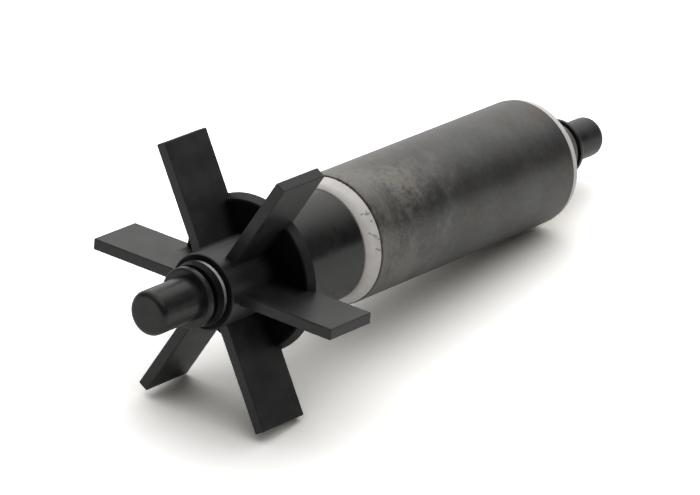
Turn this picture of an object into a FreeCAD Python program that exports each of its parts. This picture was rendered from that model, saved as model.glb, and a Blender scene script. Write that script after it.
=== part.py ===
import FreeCAD, Part
import math
import os
import Sketcher

# Rotor unit of a pond pump, in millimetres.
# The shaft lies along X with the impeller at +X, and +Z is up.
# X = 0 is the shoulder where the front boot bears on the pump cover.

# The sizes that can be set by themselves.
SIZES = {
    # shaft and general clearances
    "shaft_radius": 3.0,
    "shaft_chamfer": 0.5,
    "running_gap": 0.05,
    "fit_gap": 0.03,
    "axial_play": 0.25,
    # rubber boots that hold the shaft ends
    "front_nose_radius": 5.5,
    "front_nose_length": 14.2,
    "front_nose_rounding": 1.5,
    "front_shaft_grip": 9.5,
    "rear_nose_radius": 5.2,
    "rear_nose_length": 12.8,
    "rear_nose_rounding": 2.2,
    "rear_shaft_grip": 8.0,
    "lip_radius": 7.5,
    "lip_edge_rounding": 0.6,
    "lip_length": 1.4,
    "boot_groove_radius": 6.2,
    "boot_groove_length": 1.5,
    "collar_radius": 8.0,
    "collar_taper": 0.5,
    "collar_length": 1.7,
    "washer_radius": 8.0,
    "washer_thickness": 1.1,
    "washer_chamfer": 0.2,
    # impeller
    "tip_radius": 36.2,
    "blade_width": 15.4,
    "blade_thickness": 2.9,
    "blade_count": 6,
    "blade_rounding": 0.3,
    "hub_radius": 9.4,
    "hub_overhang": 3.15,
    "hub_chamfer": 0.4,
    "disc_radius": 19.7,
    "disc_thickness": 1.8,
    "disc_bevel": 1.2,
    "spigot_length": 3.0,
    "sleeve_radius": 5.0,
    "bush_ledge": 1.3,
    "bush_chamfer": 0.3,
    # start coupling behind the impeller
    "housing_radius": 14.15,
    "housing_length": 26.15,
    "housing_wall": 2.25,
    "housing_edge_chamfer": 0.3,
    "cover_thickness": 2.0,
    "slip_washer_thickness": 1.2,
    "slip_washer_radius": 6.0,
    "carrier_neck_radius": 6.8,
    "neck_gap": 0.5,
    "driver_ring_wall": 1.9,
    "driver_length": 14.0,
    "driver_cover_gap": 1.4,
    "dog_angle": 40.0,
    "stop_angle": 24.0,
    "buffer_angle": 8.0,
    "coupling_gap": 0.4,
    "key_width": 3.0,
    "key_height": 1.0,
    "clip_thickness": 1.0,
    "clip_depth": 0.6,
    "clip_wall": 1.2,
    "clip_opening_angle": 70.0,
    # magnet carrier
    "flange_length": 3.85,
    "flange_setback": 0.13,
    "flange_slope_length": 1.2,
    "flange_slope_share": 0.52,
    "flange_slope_rounding": 3.0,
    "flange_edge_rounding": 0.3,
    "core_radius": 8.4,
    "core_wall": 2.0,
    "bearing_length": 15.0,
    "shaft_passage_gap": 0.7,
    "bearing_ledge": 0.8,
    "oring_radius": 0.7,
    "oring_groove_width": 1.7,
    "oring_from_magnet": 1.7,
    "oring_from_boss_end": 7.0,
    # magnet and rear cap
    "magnet_radius": 16.33,
    "magnet_length": 79.15,
    "magnet_edge_rounding": 0.3,
    "gasket_thickness": 0.2,
    "gasket_setback": 0.45,
    "cap_setback": 0.31,
    "cap_thickness": 1.85,
    "cap_edge_rounding": 0.6,
    "cap_plug_length": 6.0,
    "boss_radius": 8.6,
    "boss_length": 8.8,
    "boss_edge_rounding": 0.8,
}

# The places and radii that follow from those sizes. Names ending in _x lie along the shaft.
PLACES = {
    # front boot, from its nose end back to the washer
    "front_nose_end_x": "front_nose_length",
    "front_bore_end_x": "front_shaft_grip + fit_gap",
    "front_lip_back_x": "-lip_length",
    "front_groove_back_x": "front_lip_back_x - boot_groove_length",
    "front_collar_back_x": "front_groove_back_x - collar_length",
    "collar_end_radius": "collar_radius - collar_taper",
    "front_washer_back_x": "front_collar_back_x - washer_thickness",
    "boot_bore_radius": "shaft_radius + fit_gap",
    "washer_bore_radius": "shaft_radius + fit_gap",
    # impeller
    "hub_front_x": "front_washer_back_x - axial_play",
    "blade_front_x": "hub_front_x - hub_overhang",
    "blade_back_x": "blade_front_x - blade_width",
    "disc_front_x": "blade_back_x + disc_thickness",
    "disc_front_radius": "disc_radius - disc_bevel",
    "spigot_back_x": "blade_back_x - spigot_length",
    "spigot_radius": "housing_bore_radius - fit_gap",
    "bush_seat_radius": "sleeve_radius + fit_gap",
    "bush_back_x": "spigot_back_x + bush_ledge",
    "running_radius": "shaft_radius + running_gap",
    "sleeve_passage_radius": "shaft_radius + shaft_passage_gap",
    "blade_root_radius": "sleeve_radius + 0.5 * (hub_radius - sleeve_radius)",
    # start coupling
    "housing_back_x": "blade_back_x - housing_length",
    "housing_bore_radius": "housing_radius - housing_wall",
    "cover_front_x": "housing_back_x + cover_thickness",
    "cover_radius": "housing_bore_radius - fit_gap",
    "cover_bore_radius": "carrier_neck_radius + neck_gap",
    "neck_front_x": "spigot_back_x - axial_play - slip_washer_thickness",
    "slip_washer_front_x": "spigot_back_x - axial_play",
    "driver_back_x": "cover_front_x + driver_cover_gap",
    "driver_front_x": "driver_back_x + driver_length",
    "driver_bore_radius": "carrier_neck_radius + fit_gap",
    "driver_radius": "carrier_neck_radius + driver_ring_wall",
    "dog_radius": "housing_bore_radius - coupling_gap",
    "stop_inner_radius": "driver_radius + coupling_gap",
    "stop_root_radius": "housing_bore_radius + 0.5 * housing_wall",
    "buffer_turn": "0.5 * (stop_angle + buffer_angle)",
    "buffer_outer_radius": "housing_bore_radius - fit_gap",
    "key_top_radius": "carrier_neck_radius + key_height",
    "key_slot_radius": "key_top_radius + fit_gap",
    "key_slot_width": "key_width + 2 * fit_gap",
    "clip_back_x": "driver_front_x + fit_gap",
    "clip_front_x": "clip_back_x + clip_thickness",
    "clip_groove_front_x": "clip_front_x + fit_gap",
    "clip_groove_radius": "carrier_neck_radius - clip_depth",
    "clip_inner_radius": "clip_groove_radius + fit_gap",
    "clip_outer_radius": "carrier_neck_radius + clip_wall",
    "clip_angle": "360 - clip_opening_angle",
    # magnet carrier
    "flange_front_x": "housing_back_x - axial_play",
    "flange_back_x": "flange_front_x - flange_length",
    "flange_knee_x": "flange_front_x - flange_slope_length",
    "flange_radius": "magnet_radius - flange_setback",
    "flange_knee_radius": "housing_radius + flange_slope_share * (flange_radius - housing_radius)",
    "core_bore_radius": "core_radius - core_wall",
    "oring_x": "flange_back_x + oring_from_magnet",
    "oring_groove_front_x": "oring_x + 0.5 * oring_groove_width",
    "oring_groove_back_x": "oring_x - 0.5 * oring_groove_width",
    "oring_groove_radius": "sleeve_radius + 2 * oring_radius + 2 * fit_gap",
    "oring_centre_radius": "sleeve_radius + oring_radius + fit_gap",
    "front_bearing_back_x": "flange_back_x - bearing_ledge",
    "front_bearing_front_x": "front_bearing_back_x + bearing_length",
    # magnet between its gaskets
    "magnet_front_x": "flange_back_x - gasket_thickness",
    "magnet_back_x": "magnet_front_x - magnet_length",
    "magnet_bore_radius": "core_radius + fit_gap",
    "magnet_key_radius": "core_radius + key_height",
    "magnet_slot_radius": "magnet_key_radius + fit_gap",
    "gasket_radius": "magnet_radius - gasket_setback",
    "gasket_bore_radius": "magnet_slot_radius + fit_gap",
    # rear cap, its bearing and the rear boot
    "cap_front_x": "magnet_back_x - gasket_thickness",
    "cap_back_x": "cap_front_x - cap_thickness",
    "cap_radius": "magnet_radius - cap_setback",
    "plug_front_x": "cap_front_x + cap_plug_length",
    "plug_radius": "core_bore_radius - fit_gap",
    "boss_back_x": "cap_back_x - boss_length",
    "rear_bearing_front_x": "boss_back_x + bearing_length",
    "rear_oring_x": "boss_back_x + oring_from_boss_end",
    "rear_oring_groove_front_x": "rear_oring_x + 0.5 * oring_groove_width",
    "rear_oring_groove_back_x": "rear_oring_x - 0.5 * oring_groove_width",
    "rear_washer_front_x": "boss_back_x - axial_play",
    "rear_washer_back_x": "rear_washer_front_x - washer_thickness",
    "rear_collar_back_x": "rear_washer_back_x - collar_length",
    "rear_groove_back_x": "rear_collar_back_x - boot_groove_length",
    "rear_lip_back_x": "rear_groove_back_x - lip_length",
    "rear_nose_end_x": "rear_lip_back_x - rear_nose_length",
    "rear_bore_end_x": "rear_lip_back_x - rear_shaft_grip - fit_gap",
    "shaft_front_x": "front_shaft_grip",
    "shaft_back_x": "rear_lip_back_x - rear_shaft_grip",
}

X_AXIS = FreeCAD.Vector(1, 0, 0)
Y_AXIS = FreeCAD.Vector(0, 1, 0)

doc = FreeCAD.newDocument("PumpRotor")
subparts = []


def with_prefix(formula):
    """A formula in which each driving size is read from the sheet of sizes."""
    words = formula.replace("(", " ( ").replace(")", " ) ").split()
    read = []
    for word in words:
        sign = "-" if word.startswith("-") and len(word) > 1 else ""
        name = word[len(sign):]
        read.append(sign + ("Sizes." + name if name in SIZES else name))
    return " ".join(read)


def make_sheet(name, entries):
    sheet = doc.addObject("Spreadsheet::Sheet", name)
    for row, (alias, content) in enumerate(entries.items(), start=1):
        sheet.set(f"A{row}", alias)
        sheet.set(f"B{row}", content)
        sheet.setAlias(f"B{row}", alias)
    doc.recompute()
    return sheet


sizes_sheet = make_sheet("Sizes", {name: str(value) for name, value in SIZES.items()})
places_sheet = make_sheet("Places", {name: "=" + with_prefix(text) for name, text in PLACES.items()})


def cell(name):
    """The expression that reads a named value, with its sign."""
    sign = "-" if name.startswith("-") else ""
    bare = name.lstrip("-")
    return sign + ("Sizes." if bare in SIZES else "Places.") + bare


def value(name):
    """The number that a named value holds now, which is 0 for a point on an axis."""
    if name == "axis":
        return 0.0
    sign = -1 if name.startswith("-") else 1
    bare = name.lstrip("-")
    sheet = sizes_sheet if bare in SIZES else places_sheet
    return sign * float(sheet.get(bare))


def new_body(name):
    body = doc.addObject("PartDesign::Body", name)
    body.Label = name
    subparts.append(body)
    return body


def new_sketch(body, name, plane="XY_Plane"):
    sketch = body.newObject("Sketcher::SketchObject", name)
    origin_plane = [part for part in body.Origin.OriginFeatures if part.Role == plane][0]
    sketch.AttachmentSupport = (origin_plane, [""])
    sketch.MapMode = "FlatFace"
    return sketch


def place_point(sketch, edge, horizontal, vertical):
    """Hold the start of an edge at two named distances from the axes.

    In a sketch, -1 stands for the horizontal axis, with the origin as its point 1, and -2 for
    the vertical axis.
    """
    for kind, axis, distance in (("DistanceX", -2, horizontal), ("DistanceY", -1, vertical)):
        if distance == "axis":
            sketch.addConstraint(Sketcher.Constraint("PointOnObject", edge, 1, axis))
            continue
        index = sketch.addConstraint(Sketcher.Constraint(kind, -1, 1, edge, 1, value(distance)))
        sketch.setExpression(f"Constraints[{index}]", cell(distance))


def arc_between(start, end, radius):
    """An arc of that radius that turns left on its way from start to end."""
    way = end - start
    aside = FreeCAD.Vector(-way.y, way.x, 0).normalize()
    centre = start + way * 0.5 + aside * math.sqrt(radius ** 2 - (0.5 * way.Length) ** 2)
    angles = [math.atan2(point.y - centre.y, point.x - centre.x) for point in (start, end)]
    return Part.ArcOfCircle(Part.Circle(centre, FreeCAD.Vector(0, 0, 1), radius), *angles)


def draw_outline(sketch, corners):
    """A closed outline through corners given by named values.

    The edge from a corner to the next is straight, or an arc if the corner also names a radius.
    """
    points = [FreeCAD.Vector(value(across), value(up), 0) for across, up, *_ in corners]
    for (_, _, *radius), start, end in zip(corners, points, points[1:] + points[:1]):
        if radius:
            sketch.addGeometry(arc_between(start, end, value(radius[0])))
        else:
            sketch.addGeometry(Part.LineSegment(start, end))
    for edge, (across, up, *radius) in enumerate(corners):
        following = (edge + 1) % len(corners)
        sketch.addConstraint(Sketcher.Constraint("Coincident", edge, 2, following, 1))
        place_point(sketch, edge, across, up)
        if radius:
            index = sketch.addConstraint(Sketcher.Constraint("Radius", edge, value(radius[0])))
            sketch.setExpression(f"Constraints[{index}]", cell(radius[0]))


def rectangle(x_back, x_front, low, high):
    return [(x_back, low), (x_front, low), (x_front, high), (x_back, high)]


def turned(body, name, corners, angle=None, plane="XY_Plane"):
    """A shape turned about the shaft's axis, all round or over an angle on both sides."""
    sketch = new_sketch(body, name + "_outline", plane)
    draw_outline(sketch, corners)
    feature = body.newObject("PartDesign::Revolution", name)
    feature.Profile = sketch
    feature.ReferenceAxis = (sketch, ["H_Axis"])
    feature.Angle = 360
    if angle:
        feature.Midplane = True
        feature.setExpression("Angle", cell(angle))
    doc.recompute()
    return feature


def slab(body, name, corners, thickness, cut=False):
    """A plate on the XY plane, or a slot through it, of a thickness centred on that plane."""
    sketch = new_sketch(body, name + "_outline")
    draw_outline(sketch, corners)
    volume = body.Shape.Volume if body.Shape.Solids else 0.0
    feature = body.newObject("PartDesign::Pocket" if cut else "PartDesign::Pad", name)
    feature.Profile = sketch
    feature.SideType = "Symmetric"
    feature.setExpression("Length", cell(thickness))
    doc.recompute()
    if (body.Shape.Volume < volume) != cut:
        raise RuntimeError(name + " went the wrong way")
    return feature


def edges_where(shape, chosen):
    return [f"Edge{index}" for index, edge in enumerate(shape.Edges, start=1) if chosen(edge)]


def rims(radius, *places):
    """A test for round edges about the shaft's axis, of a named radius and at named places."""
    def chosen(edge):
        curve = edge.Curve
        return (isinstance(curve, Part.Circle) and abs(curve.Radius - value(radius)) < 1e-4
                and any(abs(curve.Center.x - value(place)) < 1e-4 for place in places))
    return chosen


def ease(body, name, kind, size, chosen):
    """Round or chamfer the edges that pass a test."""
    base = body.Tip
    edges = edges_where(base.Shape, chosen)
    if not edges:
        raise RuntimeError(name + " found no edge")
    feature = body.newObject("PartDesign::" + kind, name)
    feature.Base = (base, edges)
    feature.setExpression("Radius" if kind == "Fillet" else "Size", cell(size))
    doc.recompute()
    return feature


def make_shaft():
    body = new_body("shaft")
    turned(body, "rod", rectangle("shaft_back_x", "shaft_front_x", "axis", "shaft_radius"))
    ease(body, "rod_ends", "Chamfer", "shaft_chamfer", rims("shaft_radius", "shaft_front_x", "shaft_back_x"))


def make_front_boot():
    body = new_body("front_boot")
    turned(body, "boot", [
        ("front_collar_back_x", "boot_bore_radius"), ("front_bore_end_x", "boot_bore_radius"),
        ("front_bore_end_x", "axis"), ("front_nose_end_x", "axis"),
        ("front_nose_end_x", "front_nose_radius"), ("axis", "front_nose_radius"),
        ("axis", "lip_radius"), ("front_lip_back_x", "lip_radius"),
        ("front_lip_back_x", "boot_groove_radius"), ("front_groove_back_x", "boot_groove_radius"),
        ("front_groove_back_x", "collar_end_radius"), ("front_collar_back_x", "collar_radius"),
    ])
    ease(body, "nose_edge", "Fillet", "front_nose_rounding", rims("front_nose_radius", "front_nose_end_x"))
    ease(body, "lip_edge", "Fillet", "lip_edge_rounding", rims("lip_radius", "axis"))


def make_rear_boot():
    body = new_body("rear_boot")
    turned(body, "boot", [
        ("rear_washer_back_x", "boot_bore_radius"), ("rear_bore_end_x", "boot_bore_radius"),
        ("rear_bore_end_x", "axis"), ("rear_nose_end_x", "axis"),
        ("rear_nose_end_x", "rear_nose_radius"), ("rear_lip_back_x", "rear_nose_radius"),
        ("rear_lip_back_x", "lip_radius"), ("rear_groove_back_x", "lip_radius"),
        ("rear_groove_back_x", "boot_groove_radius"), ("rear_collar_back_x", "boot_groove_radius"),
        ("rear_collar_back_x", "collar_end_radius"), ("rear_washer_back_x", "collar_radius"),
    ])
    ease(body, "nose_edge", "Fillet", "rear_nose_rounding", rims("rear_nose_radius", "rear_nose_end_x"))
    ease(body, "lip_edge", "Fillet", "lip_edge_rounding", rims("lip_radius", "rear_lip_back_x"))


def make_ring(name, x_back, x_front, bore, radius):
    """A plain ring about the shaft."""
    body = new_body(name)
    turned(body, "ring", rectangle(x_back, x_front, bore, radius))
    return body


def make_thrust_washer(name, x_back, x_front):
    body = make_ring(name, x_back, x_front, "washer_bore_radius", "washer_radius")
    ease(body, "rim_edges", "Chamfer", "washer_chamfer", rims("washer_radius", x_back, x_front))


def make_bearing(name, x_back, x_front):
    """A sleeve that runs on the shaft."""
    body = make_ring(name, x_back, x_front, "running_radius", "sleeve_radius")
    ease(body, "outer_edges", "Chamfer", "bush_chamfer", rims("sleeve_radius", x_back, x_front))


def blade_edge(edge):
    """The long straight edges of the blades outside the disc, and those across their tips."""
    if not isinstance(edge.Curve, Part.Line):
        return False
    reach = [(vertex.Point.y ** 2 + vertex.Point.z ** 2) ** 0.5 for vertex in edge.Vertexes]
    at_tip = max(reach) > value("tip_radius") - 1e-3
    return at_tip and min(reach) > value("blade_root_radius")


def make_impeller():
    body = new_body("impeller")
    turned(body, "hub_and_disc", [
        ("bush_back_x", "running_radius"), ("bush_back_x", "bush_seat_radius"),
        ("hub_front_x", "bush_seat_radius"), ("hub_front_x", "hub_radius"),
        ("disc_front_x", "hub_radius"), ("disc_front_x", "disc_front_radius"),
        ("blade_back_x", "disc_radius"), ("blade_back_x", "spigot_radius"),
        ("spigot_back_x", "spigot_radius"), ("spigot_back_x", "running_radius"),
    ])
    ease(body, "hub_edge", "Chamfer", "hub_chamfer", rims("hub_radius", "hub_front_x"))
    outline = rectangle("blade_back_x", "blade_front_x", "blade_root_radius", "tip_radius")
    blade = slab(body, "blade", outline, "blade_thickness")
    pattern = body.newObject("PartDesign::PolarPattern", "blades")
    pattern.Originals = [blade]
    pattern.Axis = (blade.Profile[0], ["H_Axis"])
    pattern.Angle = 360
    pattern.setExpression("Occurrences", cell("blade_count"))
    body.Tip = pattern
    doc.recompute()
    ease(body, "blade_edges", "Fillet", "blade_rounding", blade_edge)


def make_coupling_housing():
    """The drum behind the impeller, with the stop that the driver's dog turns against."""
    body = new_body("coupling_housing")
    turned(body, "drum", rectangle("housing_back_x", "blade_back_x", "housing_bore_radius", "housing_radius"))
    outline = rectangle("driver_back_x", "driver_front_x", "-stop_root_radius", "-stop_inner_radius")
    turned(body, "stop", outline, angle="stop_angle", plane="XZ_Plane")
    ease(body, "rear_edge", "Chamfer", "housing_edge_chamfer", rims("housing_radius", "housing_back_x"))


def make_stop_buffer(name, turn):
    """A rubber block against one side of the stop."""
    body = new_body(name)
    outline = rectangle("driver_back_x", "driver_front_x", "-buffer_outer_radius", "-stop_inner_radius")
    turned(body, "block", outline, angle="buffer_angle", plane="XZ_Plane")
    body.Placement = FreeCAD.Placement(FreeCAD.Vector(), FreeCAD.Rotation(X_AXIS, value(turn)))
    body.setExpression("Placement.Rotation.Angle", cell(turn))


def make_coupling_driver():
    """The ring keyed to the carrier's neck, with the dog that turns the drum."""
    body = new_body("coupling_driver")
    turned(body, "ring", rectangle("driver_back_x", "driver_front_x", "driver_bore_radius", "driver_radius"))
    outline = rectangle("driver_back_x", "driver_front_x", "key_slot_radius", "dog_radius")
    turned(body, "dog", outline, angle="dog_angle", plane="XZ_Plane")
    outline = rectangle("driver_back_x", "driver_front_x", "axis", "key_slot_radius")
    slab(body, "keyway", outline, "key_slot_width", cut=True)


def make_driver_clip():
    body = new_body("driver_clip")
    outline = rectangle("clip_back_x", "clip_front_x", "clip_inner_radius", "clip_outer_radius")
    turned(body, "clip", outline, angle="clip_angle")


def make_rotor_carrier():
    """The white flange with its neck into the drum and its core through the magnet."""
    body = new_body("rotor_carrier")
    turned(body, "carrier", [
        ("neck_front_x", "sleeve_passage_radius"), ("neck_front_x", "carrier_neck_radius"),
        ("clip_groove_front_x", "carrier_neck_radius"), ("clip_groove_front_x", "clip_groove_radius"),
        ("driver_front_x", "clip_groove_radius"), ("driver_front_x", "carrier_neck_radius"),
        ("flange_front_x", "carrier_neck_radius"),
        ("flange_front_x", "housing_radius", "flange_slope_rounding"),
        ("flange_knee_x", "flange_knee_radius"), ("flange_back_x", "flange_radius"),
        ("flange_back_x", "core_radius"), ("cap_front_x", "core_radius"),
        ("cap_front_x", "core_bore_radius"), ("front_bearing_back_x", "core_bore_radius"),
        ("front_bearing_back_x", "bush_seat_radius"), ("oring_groove_back_x", "bush_seat_radius"),
        ("oring_groove_back_x", "oring_groove_radius"), ("oring_groove_front_x", "oring_groove_radius"),
        ("oring_groove_front_x", "bush_seat_radius"), ("front_bearing_front_x", "bush_seat_radius"),
        ("front_bearing_front_x", "sleeve_passage_radius"),
    ])
    ease(body, "flange_edge", "Fillet", "flange_edge_rounding", rims("flange_radius", "flange_back_x"))
    outline = rectangle("driver_back_x", "driver_front_x", "clip_groove_radius", "key_top_radius")
    slab(body, "driver_key", outline, "key_width")
    outline = rectangle("magnet_back_x", "magnet_front_x", "core_bore_radius", "magnet_key_radius")
    slab(body, "magnet_key", outline, "key_width")


def make_magnet():
    body = make_ring("magnet", "magnet_back_x", "magnet_front_x", "magnet_bore_radius", "magnet_radius")
    ease(body, "outer_edges", "Fillet", "magnet_edge_rounding",
         rims("magnet_radius", "magnet_back_x", "magnet_front_x"))
    outline = rectangle("magnet_back_x", "magnet_front_x", "axis", "magnet_slot_radius")
    slab(body, "keyway", outline, "key_slot_width", cut=True)


def make_rear_cap():
    """The white cap behind the magnet, plugged into the core, with the rear bearing's boss."""
    body = new_body("rear_cap")
    turned(body, "cap", [
        ("boss_back_x", "bush_seat_radius"), ("rear_oring_groove_back_x", "bush_seat_radius"),
        ("rear_oring_groove_back_x", "oring_groove_radius"),
        ("rear_oring_groove_front_x", "oring_groove_radius"),
        ("rear_oring_groove_front_x", "bush_seat_radius"), ("plug_front_x", "bush_seat_radius"),
        ("plug_front_x", "plug_radius"), ("cap_front_x", "plug_radius"),
        ("cap_front_x", "cap_radius"), ("cap_back_x", "cap_radius"),
        ("cap_back_x", "boss_radius"), ("boss_back_x", "boss_radius"),
    ])
    ease(body, "rim_edge", "Fillet", "cap_edge_rounding", rims("cap_radius", "cap_back_x"))
    ease(body, "boss_edge", "Fillet", "boss_edge_rounding", rims("boss_radius", "boss_back_x"))


def make_oring(name, centre_x):
    """A rubber ring round a bearing."""
    ring = doc.addObject("Part::Torus", name)
    ring.Label = name
    ring.setExpression("Radius1", cell("oring_centre_radius"))
    ring.setExpression("Radius2", cell("oring_radius"))
    ring.Placement = FreeCAD.Placement(FreeCAD.Vector(value(centre_x), 0, 0), FreeCAD.Rotation(Y_AXIS, 90))
    ring.setExpression("Placement.Base.x", cell(centre_x))
    subparts.append(ring)


def check_document():
    doc.recompute()
    for item in doc.Objects:
        if "Invalid" in item.State or "Error" in item.State:
            raise RuntimeError(item.Name + " failed: " + str(item.State))
    for part in subparts:
        if part.Shape.isNull() or not part.Shape.isValid() or not part.Shape.Solids:
            raise RuntimeError(part.Label + " has no valid solid")


make_shaft()
make_front_boot()
make_rear_boot()
make_thrust_washer("front_thrust_washer", "front_washer_back_x", "front_collar_back_x")
make_thrust_washer("rear_thrust_washer", "rear_washer_back_x", "rear_washer_front_x")
make_impeller()
make_bearing("impeller_bush", "bush_back_x", "hub_front_x")
make_coupling_housing()
make_ring("coupling_cover", "housing_back_x", "cover_front_x", "cover_bore_radius", "cover_radius")
make_stop_buffer("stop_buffer_left", "buffer_turn")
make_stop_buffer("stop_buffer_right", "-buffer_turn")
make_coupling_driver()
make_driver_clip()
make_ring("slip_washer", "neck_front_x", "slip_washer_front_x", "running_radius", "slip_washer_radius")
make_rotor_carrier()
make_bearing("rotor_front_bearing", "front_bearing_back_x", "front_bearing_front_x")
make_oring("front_bearing_seal", "oring_x")
make_ring("magnet_front_gasket", "magnet_front_x", "flange_back_x", "gasket_bore_radius", "gasket_radius")
make_magnet()
make_ring("magnet_rear_gasket", "cap_front_x", "magnet_back_x", "gasket_bore_radius", "gasket_radius")
make_rear_cap()
make_bearing("rotor_rear_bearing", "boss_back_x", "rear_bearing_front_x")
make_oring("rear_bearing_seal", "rear_oring_x")

check_document()
os.makedirs("parts", exist_ok=True)
for part in subparts:
    part.Shape.exportStep(os.path.join("parts", part.Label + ".step"))
    box = part.Shape.BoundBox
    print(f"{part.Label:22s} volume {part.Shape.Volume:9.1f}  x {box.XMin:8.2f} to {box.XMax:8.2f}")
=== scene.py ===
import math

import bpy
from mathutils import Euler, Matrix, Vector


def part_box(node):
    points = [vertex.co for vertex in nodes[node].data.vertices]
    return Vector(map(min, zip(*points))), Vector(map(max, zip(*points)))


# Looks of a pond pump's rotor unit. The shaft lies along X with the impeller at +X, and +Z is up.
# Lengths are in metres, and angles round the shaft in degrees from +Y towards +Z.

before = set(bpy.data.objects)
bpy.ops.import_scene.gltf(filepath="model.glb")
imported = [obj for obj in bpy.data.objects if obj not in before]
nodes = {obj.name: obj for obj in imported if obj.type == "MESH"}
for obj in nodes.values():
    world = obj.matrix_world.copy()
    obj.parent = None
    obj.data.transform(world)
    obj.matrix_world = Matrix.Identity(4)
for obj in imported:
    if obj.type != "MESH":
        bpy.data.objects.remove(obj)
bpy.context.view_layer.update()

MM = 0.001

# Places and radii that the CAD nodes give.
HUB_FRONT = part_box("impeller")[1].x
LOWEST_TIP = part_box("impeller")[0].z
DISC_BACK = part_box("coupling_housing")[1].x
NECK_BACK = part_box("coupling_housing")[0].x
NECK_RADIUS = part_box("coupling_housing")[1].y
RING_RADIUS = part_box("rotor_carrier")[1].y
MAGNET_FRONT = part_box("magnet")[1].x
MAGNET_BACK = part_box("magnet")[0].x
MAGNET_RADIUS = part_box("magnet")[1].y

# Other places and radii of the same model.
LIP_BACK = -1.4 * MM
HUB_RADIUS = 9.4 * MM
BLADE_FRONT = HUB_FRONT - 3.15 * MM
DISC_FRONT = DISC_BACK + 1.8 * MM
DISC_FACE_RADIUS = 18.5 * MM
# The white ring in front of the magnet slopes up to its full radius, which it has from this place back.
RING_EDGE = MAGNET_FRONT + 0.78 * MM
RING_SLOPE = 0.41

# Nearly all of a noise lies between these values.
NOISE_LOW = 0.3
NOISE_HIGH = 0.7
# The share of a mark's reach at which it starts to fade.
FADE_START = 0.3


def on_round(x, angle, radius):
    """The point at a place along the shaft, an angle and a radius."""
    turn = math.radians(angle)
    return Vector((x, radius * math.cos(turn), radius * math.sin(turn)))


def on_drum(ahead, angle):
    """A point on the drum, that is the neck, ring or magnet: millimetres ahead of the magnet, and angle."""
    x = MAGNET_FRONT + ahead * MM
    if x > NECK_BACK:
        radius = NECK_RADIUS
    elif x > MAGNET_FRONT:
        radius = RING_RADIUS - RING_SLOPE * max(0.0, x - RING_EDGE)
    else:
        radius = MAGNET_RADIUS
    return on_round(x, angle, radius)


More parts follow.
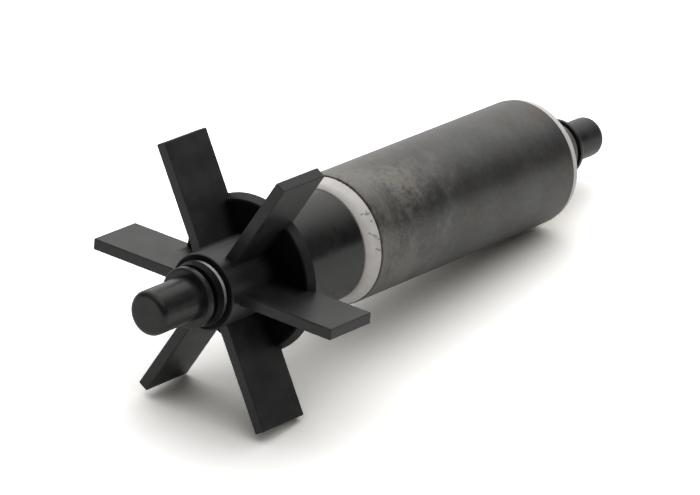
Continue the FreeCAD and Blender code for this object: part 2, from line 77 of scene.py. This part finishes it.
class Nodes:
    """Short ways to add nodes to a material or world and to link them."""

    def __init__(self, tree):
        self.tree = tree
        tree.nodes.clear()

    def add(self, kind, **settings):
        node = self.tree.nodes.new("ShaderNode" + kind)
        for name, setting in settings.items():
            setattr(node, name, setting)
        return node

    def join(self, value, socket):
        """Give a socket a plain value or another node's output."""
        if isinstance(value, bpy.types.NodeSocket):
            self.tree.links.new(value, socket)
        elif isinstance(value, (tuple, list)) and len(value) == 3 and socket.type == "RGBA":
            socket.default_value = (*value, 1)
        else:
            socket.default_value = value

    def place(self, scale=(1, 1, 1), turn=(0, 0, 0), shift=(0, 0, 0)):
        """The point on the surface in the object's own space, scaled, turned and shifted."""
        if not hasattr(self, "point"):
            self.point = self.add("TexCoord").outputs["Object"]
        mapping = self.add("Mapping", vector_type="POINT")
        self.join(self.point, mapping.inputs["Vector"])
        self.join(scale, mapping.inputs["Scale"])
        self.join(turn, mapping.inputs["Rotation"])
        self.join(shift, mapping.inputs["Location"])
        return mapping.outputs["Vector"]

    def noise(self, size, stretch=(1, 1, 1), turn=(0, 0, 0), shift=(0, 0, 0), detail=4.0, rough=0.55,
              warp=0.0):
        """Noise with grains of about this size, stretched along the axes."""
        texture = self.add("TexNoise", noise_dimensions="3D")
        scale = [1 / (size * s) for s in stretch]
        self.join(self.place(scale, turn, shift), texture.inputs["Vector"])
        self.join(1.0, texture.inputs["Scale"])
        self.join(detail, texture.inputs["Detail"])
        self.join(rough, texture.inputs["Roughness"])
        self.join(warp, texture.inputs["Distortion"])
        return texture.outputs["Fac"]

    def ramp(self, fac, low, high, low_out=0.0, high_out=1.0):
        """A smooth step of fac from low to high. High up in a noise, it leaves only scattered peaks."""
        node = self.add("MapRange", interpolation_type="SMOOTHSTEP", clamp=True)
        self.join(fac, node.inputs["Value"])
        self.join(low, node.inputs["From Min"])
        self.join(high, node.inputs["From Max"])
        self.join(low_out, node.inputs["To Min"])
        self.join(high_out, node.inputs["To Max"])
        return node.outputs["Result"]

    def spread(self, noise, low_out=0.0, high_out=1.0):
        """A noise made to run from one value to the other."""
        return self.ramp(noise, NOISE_LOW, NOISE_HIGH, low_out, high_out)

    def math(self, operation, *values, **settings):
        node = self.add("Math", operation=operation, **settings)
        for socket, value in zip(node.inputs, values):
            self.join(value, socket)
        return node.outputs["Value"]

    def fold(self, operation, result, *others):
        """Any number of values put together by one operation."""
        for other in others:
            result = self.math(operation, result, other)
        return result

    def product(self, *values):
        return self.fold("MULTIPLY", *values)

    def largest(self, *values):
        return self.fold("MAXIMUM", *values)

    def total(self, *parts):
        """The sum of values that are each given with a weight."""
        result = 0.0
        for value, weight in reversed(parts):
            result = self.math("MULTIPLY_ADD", value, weight, result)
        return result

    def vector(self, operation, *values, result="Vector"):
        """Vector arithmetic. Where it gives a number, the result is called Value."""
        node = self.add("VectorMath", operation=operation)
        for socket, value in zip(node.inputs, values):
            self.join(value, socket)
        return node.outputs[result]

    def mix(self, fac, first, second, blend="MIX"):
        """Blend two colours."""
        node = self.add("Mix", data_type="RGBA", blend_type=blend)
        colours = [s for s in node.inputs if s.type == "RGBA"]
        self.join(fac, node.inputs["Factor"])
        self.join(first, colours[0])
        self.join(second, colours[1])
        return [s for s in node.outputs if s.type == "RGBA"][0]

    def mix_shaders(self, fac, first, second):
        """The first shader where fac is 0 and the second where it is 1."""
        node = self.add("MixShader")
        for socket, value in zip(node.inputs, (fac, first, second)):
            self.join(value, socket)
        return node.outputs["Shader"]

    def axis(self, name):
        """One coordinate of the point on the surface."""
        split = self.add("SeparateXYZ")
        self.join(self.place(), split.inputs["Vector"])
        return split.outputs[name]

    def radius(self):
        """Distance from the shaft's axis."""
        return self.vector("LENGTH", self.place(scale=(0, 1, 1)), result="Value")

    def angle(self):
        """Angle round the shaft."""
        return self.math("DEGREES", self.math("ARCTAN2", self.axis("Z"), self.axis("Y")))

    def fade(self, distance, reach):
        """1 near by, falling to 0 at a distance of reach."""
        return self.ramp(distance, FADE_START * reach, reach, 1.0, 0.0)

    def near(self, centre, reach):
        """1 at a point, falling to 0 at a distance of reach."""
        return self.fade(self.vector("DISTANCE", self.place(), centre, result="Value"), reach)

    def stroke(self, start, end, width):
        """1 on the straight line between two points, falling to 0 at a distance of width from it."""
        way = end - start
        offset = self.vector("SUBTRACT", self.place(), start)
        along = self.vector("DOT_PRODUCT", offset, way, result="Value")
        share = self.math("MULTIPLY", along, 1 / way.length_squared, use_clamp=True)
        foot = self.vector("MULTIPLY", way, share)
        return self.fade(self.vector("DISTANCE", offset, foot, result="Value"), width)

    def bump(self, height, depth):
        """Relief of a depth."""
        node = self.add("Bump")
        self.join(height, node.inputs["Height"])
        self.join(depth, node.inputs["Distance"])
        self.join(1.0, node.inputs["Strength"])
        return node.outputs["Normal"]


def strokes(made, marks):
    """1 on marks, each given by its two ends on the drum and its width in millimetres, else 0."""
    drawn = 0.0
    for start, end, width in marks:
        drawn = made.largest(drawn, made.stroke(on_drum(*start), on_drum(*end), width * MM))
    return drawn


def spots(made, marks):
    """1 on spots, each given by its middle on the drum and its reach in millimetres, else 0."""
    drawn = 0.0
    for centre, reach in marks:
        drawn = made.largest(drawn, made.near(on_drum(*centre), reach * MM))
    return drawn


def new_material(name):
    material = bpy.data.materials.new(name)
    material.use_nodes = True
    made = Nodes(material.node_tree)
    shader = made.add("BsdfPrincipled")
    output = made.add("OutputMaterial")
    made.join(shader.outputs["BSDF"], output.inputs["Surface"])
    return material, made, shader


def finish(made, shader, tone, rough, relief, depth):
    """Join a colour, a roughness and a relief of a depth to the shader."""
    made.join(tone, shader.inputs["Base Color"])
    made.join(rough, shader.inputs["Roughness"])
    made.join(made.bump(relief, depth), shader.inputs["Normal"])


def dress(material, *names):
    """Give CAD nodes a material."""
    for name in names:
        slots = nodes[name].data.materials
        slots.clear()
        slots.append(material)


def grey(level):
    return (level, level, level)


WHITE = grey(1.0)

# The index of refraction of the plastics and the rubber.
POLYMER_IOR = 1.45
# How much rougher the grain, the top of the hub under its painted highlight and a recess are than the rest
# of the surface.
GRAIN_ROUGH = 0.05
HUB_TOP_ROUGH = 0.20
DEEP_ROUGH = 0.30

# Painted shade for places that light hardly reaches: its colour and its gleam.
PAINTED_SHADE_BLACK = grey(0.003)
PAINTED_SHADE_GLEAM = grey(0.30)


def paint_shade(made, shader, deep, tone, rough):
    """Painted shade: colour and roughness that turn black and matt where deep is 1. The shader gleams less
    there too.
    """
    made.join(made.mix(deep, WHITE, PAINTED_SHADE_GLEAM), shader.inputs["Specular Tint"])
    return made.mix(deep, tone, PAINTED_SHADE_BLACK), made.math("MULTIPLY_ADD", deep, DEEP_ROUGH, rough)


# The top of the hub begins between these heights above the shaft's axis.
HUB_TOP = 7.6 * MM, 8.8 * MM
# The painted shade in the corner in front of the disc fades in from the first distance to the second.
DISC_CORNER = 5.7 * MM, 0.2 * MM
# Painted shade at the front ends of two blade roots: angle, height above the hub, and reach.
DARK_ROOTS = ((60, 1.6 * MM, 12 * MM), (0, 1.1 * MM, 6 * MM))
ROOT_DARKNESS = 0.6


def hub_top(made):
    """1 on top of the hub between the two upper blades, where a highlight is painted, else 0."""
    hub = made.ramp(made.radius(), HUB_RADIUS + 0.8 * MM, HUB_RADIUS + 0.2 * MM)
    return made.product(hub, made.ramp(made.axis("Z"), *HUB_TOP))


def blade_roots(made):
    """ROOT_DARKNESS of painted shade at the front ends of two blade roots, else 0."""
    roots = 0.0
    for angle, height, reach in DARK_ROOTS:
        roots = made.largest(roots, made.near(on_round(BLADE_FRONT, angle, HUB_RADIUS + height), reach))
    off_hub = made.ramp(made.radius(), HUB_RADIUS + 0.2 * MM, HUB_RADIUS + 1.0 * MM, 0.0, ROOT_DARKNESS)
    return made.product(roots, off_hub)


def impeller_painted_shade(made):
    """1 where shade is painted: on the hub's front face and where the hub and the blades meet the disc, less
    at two blade roots.
    """
    x = made.axis("X")
    front_face = made.ramp(x, HUB_FRONT - 0.35 * MM, HUB_FRONT - 0.05 * MM)
    by_disc = made.ramp(x, *[DISC_FRONT + distance for distance in DISC_CORNER])
    inside = made.ramp(made.radius(), DISC_FACE_RADIUS + 0.4 * MM, DISC_FACE_RADIUS - 1.0 * MM)
    corner = made.product(by_disc, inside, made.math("SUBTRACT", 1.0, hub_top(made)))
    return made.largest(corner, blade_roots(made), front_face)


# Nicks in the neck and scuffs on the white ring. Each goes from one place to another, given as
# millimetres ahead of the magnet's front face and an angle, and has a width in millimetres.
NECK_MARKS = (
    ((12.75, 44.8), (12.55, 41.2), 0.45),
    ((12.55, 41.2), (12.65, 37.5), 0.30),
    ((14.15, -24.0), (14.25, -25.0), 0.45),
)
RING_MARKS = (
    ((2.85, 45.5), (1.85, 44.2), 0.30),
    ((1.85, 44.2), (1.05, 43.0), 0.50),
    ((1.25, 46.2), (1.45, 42.5), 0.35),
    ((1.25, 36.8), (1.25, 36.2), 0.40),
    ((2.95, 27.5), (1.95, 24.0), 0.30),
    ((1.75, 23.2), (0.85, 19.5), 0.55),
    ((1.85, 11.5), (0.75, 9.2), 0.35),
    ((0.25, 17.0), (0.25, 7.0), 0.45),
    ((1.95, -150.0), (1.05, -147.0), 0.50),
)


def neck_recesses(made):
    """1 on the nicks in the neck behind the impeller, real marks darkened with painted shade, else 0."""
    return strokes(made, NECK_MARKS)


# Specks of dust on plastic, and the darkest and lightest tone of a painted highlight on top of the hub.
PLASTIC_DUST = grey(0.11)
HUB_HIGHLIGHT_TONES = (0.065, 0.065, 0.066), (0.125, 0.125, 0.127)


def scratches(made, cloud):
    """Faint scratches in two directions, only in patches."""
    first = made.noise(0.35 * MM, stretch=(9, 1, 1), turn=(0.3, 0.5, 0.7), detail=3)
    second = made.noise(0.3 * MM, stretch=(1, 8, 1), turn=(0.9, 0.2, 0.4), shift=(3, 5, 1), detail=3)
    both = made.largest(made.ramp(first, 0.62, 0.74), made.ramp(second, 0.64, 0.76))
    return made.product(both, made.ramp(cloud, 0.42, 0.62))


def moulded_plastic(name, tones, rough, depth, recesses=None, painted_highlight=None):
    """Black moulded plastic: slightly cloudy, scratched and dotted with dust, with a fine grain of a depth.
    """
    material, made, shader = new_material(name)
    cloud = made.noise(6 * MM, detail=5, rough=0.6)
    speck = made.noise(0.45 * MM, shift=(7, 1, 3), detail=2)
    grain = made.noise(0.2 * MM, detail=6, rough=0.7)
    worn = scratches(made, cloud)
    dust = made.product(made.ramp(speck, 0.755, 0.80), made.ramp(cloud, 0.45, 0.6))
    tone = made.mix(made.total((made.spread(cloud), 0.6), (worn, 0.4)), *tones)
    tone = made.mix(dust, tone, PLASTIC_DUST)
    rough = made.math("MULTIPLY_ADD", made.spread(grain), GRAIN_ROUGH, made.spread(cloud, *rough))
    # A painted highlight where given: a lighter tone, on a rougher surface.
    if painted_highlight:
        highlight = painted_highlight(made)
        tone = made.mix(highlight, tone, made.mix(cloud, *HUB_HIGHLIGHT_TONES))
        rough = made.math("MULTIPLY_ADD", highlight, HUB_TOP_ROUGH, rough)
    # Painted shade where given.
    if recesses:
        tone, rough = paint_shade(made, shader, recesses(made), tone, rough)
    made.join(POLYMER_IOR, shader.inputs["IOR"])
    finish(made, shader, tone, rough, made.total((worn, 0.6), (grain, 1.0)), depth)
    return material


# The magnet's darkest and lightest tones, and the least and most gleam, at the rear and where it is
# rubbed at the front.
REAR_TONES = grey(0.008), grey(0.038)
REAR_GLEAM = grey(0.74), grey(0.88)
RUBBED_TONES = grey(0.030), grey(0.165)
RUBBED_GLEAM = grey(0.52), grey(0.98)
# Its tints, which multiply both.
COOL_TINT = (0.975, 0.98, 1.0)
WARM_TINT = (1.0, 0.925, 0.84)
GREEN_TINT = (0.965, 0.98, 0.935)
RUBBED_TINT = (1.0, 0.94, 0.85)
FERRITE_IOR = 1.90
FERRITE_ROUGH = 0.37
# How much rougher it is where it is rubbed and lighter than this usual value of the mottling.
RUBBED_ROUGH = 0.18
USUAL_MOTTLE = 0.4
# Where it is fully rubbed, where that has faded out, and how raggedly it does.
RUBBED_BACK = MAGNET_FRONT - 7 * MM
RUBBED_END = MAGNET_FRONT - 39 * MM
RUBBED_RAGGED = 50 * MM
# Pale blotches and dark pits: millimetres ahead of the magnet's front face, angle, and reach in millimetres.
BLOTCHES = ((-17, 60), 10), ((-5, 84), 7)
PITS = ((-53, -6.5), 0.5), ((-38, 20), 0.4)
PIT_BLACK = grey(0.006)


def magnet_rubbed(made, patch):
    """1 where the magnet is rubbed, fading out to 0 at the rear."""
    ragged = made.math("MULTIPLY_ADD", made.math("SUBTRACT", patch, 0.5), RUBBED_RAGGED, made.axis("X"))
    return made.ramp(ragged, RUBBED_END, RUBBED_BACK)


def magnet_streaks(made, rubbed):
    """Grinding marks round the magnet and slanting scratches, strongest where it is rubbed."""
    grind = made.noise(0.4 * MM, stretch=(1, 4, 4), detail=4, rough=0.6)
    slant = made.noise(0.3 * MM, stretch=(7, 1, 2), turn=(0.4, 0.7, 0.2), detail=3)
    streaks = made.math("ADD", made.ramp(grind, 0.40, 0.74), made.ramp(slant, 0.56, 0.76))
    return made.product(streaks, made.math("MULTIPLY_ADD", rubbed, 0.6, 0.2))


def magnet_mottle(made, patch, rubbed, streaks):
    """The magnet's mottling from 0, darkest, to about 1, with pale blotches and sparks."""
    fleck = made.noise(1.3 * MM, detail=6, rough=0.68, warp=0.5)
    spark = made.noise(0.7 * MM, stretch=(1, 1.6, 1.6), shift=(5, 1, 2), detail=3, rough=0.6)
    blotched = made.product(spots(made, BLOTCHES), made.ramp(fleck, 0.30, 0.60))
    bright = made.largest(blotched, made.product(rubbed, made.ramp(spark, 0.60, 0.74)))
    return made.total((bright, 0.45), (made.ramp(patch, 0.38, 0.66), 0.50),
                      (made.ramp(fleck, 0.32, 0.72), 0.45), (streaks, 0.06))


def magnet_tint(made, rubbed):
    """Cool grey with warm and greenish patches, warmer where the magnet is rubbed."""
    warmth = made.noise(6 * MM, shift=(4, 2, 8), detail=4, rough=0.55)
    green = made.noise(5 * MM, shift=(9, 6, 1), detail=4, rough=0.55)
    tint = made.mix(made.ramp(warmth, 0.40, 0.62), COOL_TINT, WARM_TINT)
    tint = made.mix(made.product(made.ramp(green, 0.46, 0.62), 0.7), tint, GREEN_TINT)
    return made.mix(made.product(rubbed, 0.6), tint, RUBBED_TINT)


def ferrite(name):
    """Ground ferrite: mottled, tinted and flecked where it is rubbed at the front, smoother at the rear."""
    material, made, shader = new_material(name)
    patch = made.noise(8 * MM, stretch=(1, 1.5, 1.5), detail=6, rough=0.62, warp=0.3)
    grain = made.noise(0.16 * MM, detail=5, rough=0.7)
    rubbed = magnet_rubbed(made, patch)
    streaks = magnet_streaks(made, rubbed)
    mottle = magnet_mottle(made, patch, rubbed, streaks)
    tint = magnet_tint(made, rubbed)
    pit = spots(made, PITS)
    tone = made.mix(rubbed, made.mix(mottle, *REAR_TONES), made.mix(mottle, *RUBBED_TONES))
    tone = made.mix(1.0, tone, tint, blend="MULTIPLY")
    gleam = made.mix(rubbed, made.mix(mottle, *REAR_GLEAM), made.mix(mottle, *RUBBED_GLEAM))
    made.join(made.mix(1.0, gleam, tint, blend="MULTIPLY"), shader.inputs["Specular Tint"])
    made.join(FERRITE_IOR, shader.inputs["IOR"])
    uneven = made.product(rubbed, made.math("SUBTRACT", mottle, USUAL_MOTTLE))
    rough = made.math("MULTIPLY_ADD", uneven, RUBBED_ROUGH, FERRITE_ROUGH)
    relief = made.total((grain, 0.6), (streaks, 0.4), (pit, -3.0))
    finish(made, shader, made.mix(pit, tone, PIT_BLACK), rough, relief, depth=0.012 * MM)
    return material


DIRT = (0.045, 0.042, 0.040)


def white_plastic(name, tones, rough, marks=()):
    """White moulded plastic, with dark scuffs as given and a few others."""
    material, made, shader = new_material(name)
    cloud = made.noise(5 * MM, detail=5)
    spot = made.noise(0.9 * MM, detail=4, rough=0.7, warp=0.8)
    area = made.noise(5 * MM, shift=(2, 7, 4), detail=2)
    ragged = made.noise(0.35 * MM, detail=4, rough=0.7)
    grain = made.noise(0.25 * MM, detail=5)
    scattered = made.product(made.ramp(spot, 0.64, 0.70), made.ramp(area, 0.55, 0.62))
    drawn = made.product(strokes(made, marks), made.ramp(ragged, 0.36, 0.62, 0.05, 0.80))
    dirt = made.largest(scattered, drawn)
    tone = made.mix(dirt, made.mix(made.spread(cloud), *tones), DIRT)
    relief = made.total((dirt, -0.8), (grain, 1.0))
    finish(made, shader, tone, made.spread(cloud, *rough), relief, depth=0.008 * MM)
    return material


RUBBER_SPECK = grey(0.10)


def boot_recesses(made):
    """1 on the front boot behind its lip, which keeps the light from it, else 0."""
    x = made.axis("X")
    behind_lip = made.ramp(x, LIP_BACK + 0.1 * MM, LIP_BACK - 0.1 * MM)
    return made.product(behind_lip, made.math("GREATER_THAN", x, HUB_FRONT))


def black_rubber(name, tones, rough, recesses=None):
    """Moulded rubber with a dusting of pale specks."""
    material, made, shader = new_material(name)
    cloud = made.noise(3 * MM, detail=5)
    speck = made.noise(0.35 * MM, detail=2)
    grain = made.noise(0.12 * MM, detail=5, rough=0.7)
    tone = made.mix(made.spread(cloud), *tones)
    tone = made.mix(made.ramp(speck, 0.74, 0.80), tone, RUBBER_SPECK)
    rough = made.spread(cloud, *rough)
    # Painted shade where given.
    if recesses:
        tone, rough = paint_shade(made, shader, recesses(made), tone, rough)
    made.join(POLYMER_IOR, shader.inputs["IOR"])
    finish(made, shader, tone, rough, grain, depth=0.008 * MM)
    return material


# Where the washers are lit, with painted shade on the rest: the angles over which the light sets in and
# those over which it ends again, and how raggedly.
LIT_START = -24, 55
LIT_END = 108, 74
LIT_RAGGED = 12
# The colour of the painted shade on the washers.
WASHER_SHADE_BLACK = grey(0.02)


def washer_lit_side(made, cloud):
    """1 at the upper right of a washer, where it is lit, falling to 0 on the rest, which is painted black as
    shade.
    """
    angle = made.math("MULTIPLY_ADD", made.math("SUBTRACT", cloud, 0.5), LIT_RAGGED, made.angle())
    return made.product(made.ramp(angle, *LIT_START), made.ramp(angle, *LIT_END))


def ceramic(name, tones, rough, lit_side=None):
    """Ground or lapped ceramic with fine marks round the axis, painted black as shade where not lit."""
    material, made, shader = new_material(name)
    cloud = made.noise(2 * MM, detail=5)
    lapping = made.noise(0.15 * MM, stretch=(1, 6, 6), detail=4)
    tone = made.mix(made.spread(cloud), *tones)
    if lit_side:
        tone = made.mix(lit_side(made, cloud), WASHER_SHADE_BLACK, tone)
    finish(made, shader, tone, made.spread(cloud, *rough), lapping, depth=0.003 * MM)
    return material


def spring_steel(name, tones, rough):
    """Bright rolled spring steel."""
    material, made, shader = new_material(name)
    made.join(1.0, shader.inputs["Metallic"])
    cloud = made.noise(1.5 * MM, detail=4)
    rolling = made.noise(0.1 * MM, stretch=(8, 1, 1), detail=4)
    tone = made.mix(made.spread(cloud), *tones)
    finish(made, shader, tone, made.spread(cloud, *rough), rolling, depth=0.003 * MM)
    return material


# The darkest and the lightest tone of the materials. Their roughness is a pair too, from least to most.
IMPELLER_TONES = (0.017, 0.017, 0.0175), (0.036, 0.036, 0.037)
HOUSING_TONES = grey(0.008), (0.018, 0.018, 0.017)
DRIVER_TONES = (0.030, 0.030, 0.032), (0.060, 0.060, 0.062)
YELLOWED_TONES = (0.76, 0.73, 0.71), (0.88, 0.85, 0.825)
BOOT_TONES = grey(0.010), grey(0.021)
SEAL_TONES = grey(0.010), grey(0.020)
WASHER_TONES = (0.45, 0.44, 0.43), (0.60, 0.59, 0.58)
BEARING_TONES = (0.70, 0.69, 0.66), (0.82, 0.81, 0.78)
SHAFT_TONES = (0.74, 0.73, 0.70), (0.86, 0.85, 0.82)
STEEL_TONES = (0.45, 0.45, 0.46), (0.60, 0.60, 0.61)

dress(moulded_plastic("impeller_plastic", IMPELLER_TONES, rough=(0.32, 0.42), depth=0.006 * MM,
                      recesses=impeller_painted_shade, painted_highlight=hub_top),
      "impeller")
dress(moulded_plastic("housing_plastic", HOUSING_TONES, rough=(0.16, 0.26), depth=0.003 * MM,
                      recesses=neck_recesses),
      "coupling_housing", "coupling_cover")
dress(moulded_plastic("driver_plastic", DRIVER_TONES, rough=(0.26, 0.36), depth=0.006 * MM),
      "coupling_driver")
dress(ferrite("magnet_ferrite"), "magnet")
dress(white_plastic("carrier_plastic", YELLOWED_TONES, rough=(0.40, 0.50), marks=RING_MARKS),
      "rotor_carrier", "rear_cap")
dress(white_plastic("slip_plastic", YELLOWED_TONES, rough=(0.40, 0.50)), "slip_washer")
dress(black_rubber("boot_rubber", BOOT_TONES, rough=(0.28, 0.38), recesses=boot_recesses),
      "front_boot", "rear_boot")
dress(black_rubber("seal_rubber", SEAL_TONES, rough=(0.51, 0.61)),
      "magnet_front_gasket", "magnet_rear_gasket", "front_bearing_seal", "rear_bearing_seal",
      "stop_buffer_left", "stop_buffer_right")
dress(ceramic("washer_ceramic", WASHER_TONES, rough=(0.26, 0.38), lit_side=washer_lit_side),
      "front_thrust_washer", "rear_thrust_washer")
dress(ceramic("bearing_ceramic", BEARING_TONES, rough=(0.22, 0.34)),
      "rotor_front_bearing", "rotor_rear_bearing", "impeller_bush")
dress(ceramic("shaft_ceramic", SHAFT_TONES, rough=(0.22, 0.34)), "shaft")
dress(spring_steel("clip_steel", STEEL_TONES, rough=(0.25, 0.40)), "driver_clip")

# The floor goes under the rear corners of the lower blade tips, with a small gap, and under the
# magnet's rear rim.
FLOOR_GAP = 0.115 * MM
FLOOR_FRONT = Vector((DISC_BACK, 0, LOWEST_TIP - FLOOR_GAP))
FLOOR_REAR = Vector((MAGNET_BACK, 0, -MAGNET_RADIUS))
FLOOR_REACH = 3.0
# It fades into the white room from one distance to the other.
FLOOR_FADE = 0.25, 0.9
# Its colour, then what the camera sees of it in the open and where the object stands over it, where shade is
# painted on it beside its real shadow.
FLOOR_COLOUR = (0.80, 0.80, 0.79)
FLOOR_OPEN = (1.96, 1.97, 1.98)
FLOOR_SHADE = (1.20, 1.16, 1.09)
FLOOR_SHADE_REACH = 0.08
# How much of that extra brightness reflections in the object see.
FLOOR_GLEAM = 0.25


def floor_material():
    """Pale, pure white far away, and see-through from below, so that low views aren't blocked."""
    material = bpy.data.materials.new("floor")
    material.use_nodes = True
    made = Nodes(material.node_tree)
    path = made.add("LightPath").outputs
    # Ambient occlusion darkens the floor near the object: painted shade beside its real shadow.
    corner = made.add("AmbientOcclusion", samples=16)
    made.join(FLOOR_SHADE_REACH, corner.inputs["Distance"])
    shown = made.mix(made.ramp(corner.outputs["AO"], 0.0, 1.0), FLOOR_SHADE, FLOOR_OPEN)
    part = made.math("MULTIPLY_ADD", path["Is Glossy Ray"], FLOOR_GLEAM, path["Is Camera Ray"])
    pale = made.add("BsdfDiffuse")
    made.join(made.mix(part, FLOOR_COLOUR, shown), pale.inputs["Color"])
    white = made.add("Emission")
    made.join(WHITE, white.inputs["Color"])
    clear = made.add("BsdfTransparent")
    seen = made.largest(path["Is Camera Ray"], path["Is Glossy Ray"], path["Is Transmission Ray"])
    distance = made.vector("LENGTH", made.place(), result="Value")
    far = made.product(made.ramp(distance, *FLOOR_FADE), seen)
    top = made.mix_shaders(far, pale.outputs["BSDF"], white.outputs["Emission"])
    below = made.add("NewGeometry").outputs["Backfacing"]
    output = made.add("OutputMaterial")
    made.join(made.mix_shaders(below, top, clear.outputs["BSDF"]), output.inputs["Surface"])
    return material


def make_floor():
    mesh = bpy.data.meshes.new("floor")
    far = FLOOR_REACH
    mesh.from_pydata([(-far, -far, 0), (far, -far, 0), (far, far, 0), (-far, far, 0)], [], [(0, 1, 2, 3)])
    mesh.materials.append(floor_material())
    floor = bpy.data.objects.new("floor", mesh)
    bpy.context.scene.collection.objects.link(floor)
    way = FLOOR_REAR - FLOOR_FRONT
    tilt = math.atan2(way.z, -way.x)
    floor.matrix_world = Matrix.Translation(FLOOR_FRONT) @ Matrix.Rotation(tilt, 4, "Y")


# The soft lights of the room: the way to each, the cosine of the angle from there at which it has
# faded out, and its strength in the middle.
ROOM_LIGHTS = (
    ((0, 0, 1), 0.45, 1.20),
    ((-0.79, -0.58, 0.25), 0.35, 1.00),
)
ROOM_LEVEL = 0.08
ROOM_COLOUR = (1.0, 0.99, 0.97)


def make_world():
    """A pale room, white where the camera looks past the floor."""
    world = bpy.data.worlds.new("room")
    bpy.context.scene.world = world
    world.use_nodes = True
    made = Nodes(world.node_tree)
    direction = made.add("TexCoord").outputs["Generated"]
    level = ROOM_LEVEL
    for towards, edge, strength in ROOM_LIGHTS:
        cosine = made.vector("DOT_PRODUCT", direction, Vector(towards).normalized(), result="Value")
        level = made.math("ADD", level, made.ramp(cosine, edge, 1.0, 0.0, strength))
    camera_ray = made.add("LightPath").outputs["Is Camera Ray"]
    other_ray = made.math("SUBTRACT", 1.0, camera_ray)
    background = made.add("Background")
    made.join(made.mix(camera_ray, ROOM_COLOUR, WHITE), background.inputs["Color"])
    made.join(made.math("MULTIPLY_ADD", level, other_ray, camera_ray), background.inputs["Strength"])
    output = made.add("OutputWorld")
    made.join(background.outputs["Background"], output.inputs["Surface"])


# Two square soft lights that face the object: where each stands and its power in watts.
SOFTBOXES = (
    ("left", Vector((-0.25, -0.8, 0.75)), 0.62),
    ("fill", Vector((0.25, 0.6, 0.9)), 0.22),
)
SOFTBOX_SIDE = 0.8
SOFTBOX_TARGET = Vector((-0.07, 0, 0))


def make_softbox(name, place, watts):
    lamp = bpy.data.lights.new(name, "AREA")
    lamp.shape = "SQUARE"
    lamp.size = SOFTBOX_SIDE
    lamp.energy = watts
    box = bpy.data.objects.new(name, lamp)
    bpy.context.scene.collection.objects.link(box)
    box.location = place
    box.rotation_euler = (SOFTBOX_TARGET - place).to_track_quat("-Z", "Y").to_euler()


# The photograph's view: a place, turns about X, Y and Z in degrees, and a long lens in millimetres.
CAMERA_PLACE = (0.90137, 0.70006, 0.48036)
CAMERA_TURN = (67.79671, -4.80071, 127.9186)
CAMERA_LENS = 271.495
CAMERA_SENSOR = 36.0
CAMERA_CLIP = 0.1, 20.0


def make_camera():
    camera = bpy.data.objects.new("camera", bpy.data.cameras.new("camera"))
    bpy.context.scene.collection.objects.link(camera)
    camera.data.sensor_width = CAMERA_SENSOR
    camera.data.lens = CAMERA_LENS
    camera.data.clip_start, camera.data.clip_end = CAMERA_CLIP
    camera.location = CAMERA_PLACE
    camera.rotation_euler = Euler([math.radians(turn) for turn in CAMERA_TURN])
    bpy.context.scene.camera = camera


make_floor()
make_world()
for softbox in SOFTBOXES:
    make_softbox(*softbox)
make_camera()

bpy.context.scene.view_settings.view_transform = "Standard"
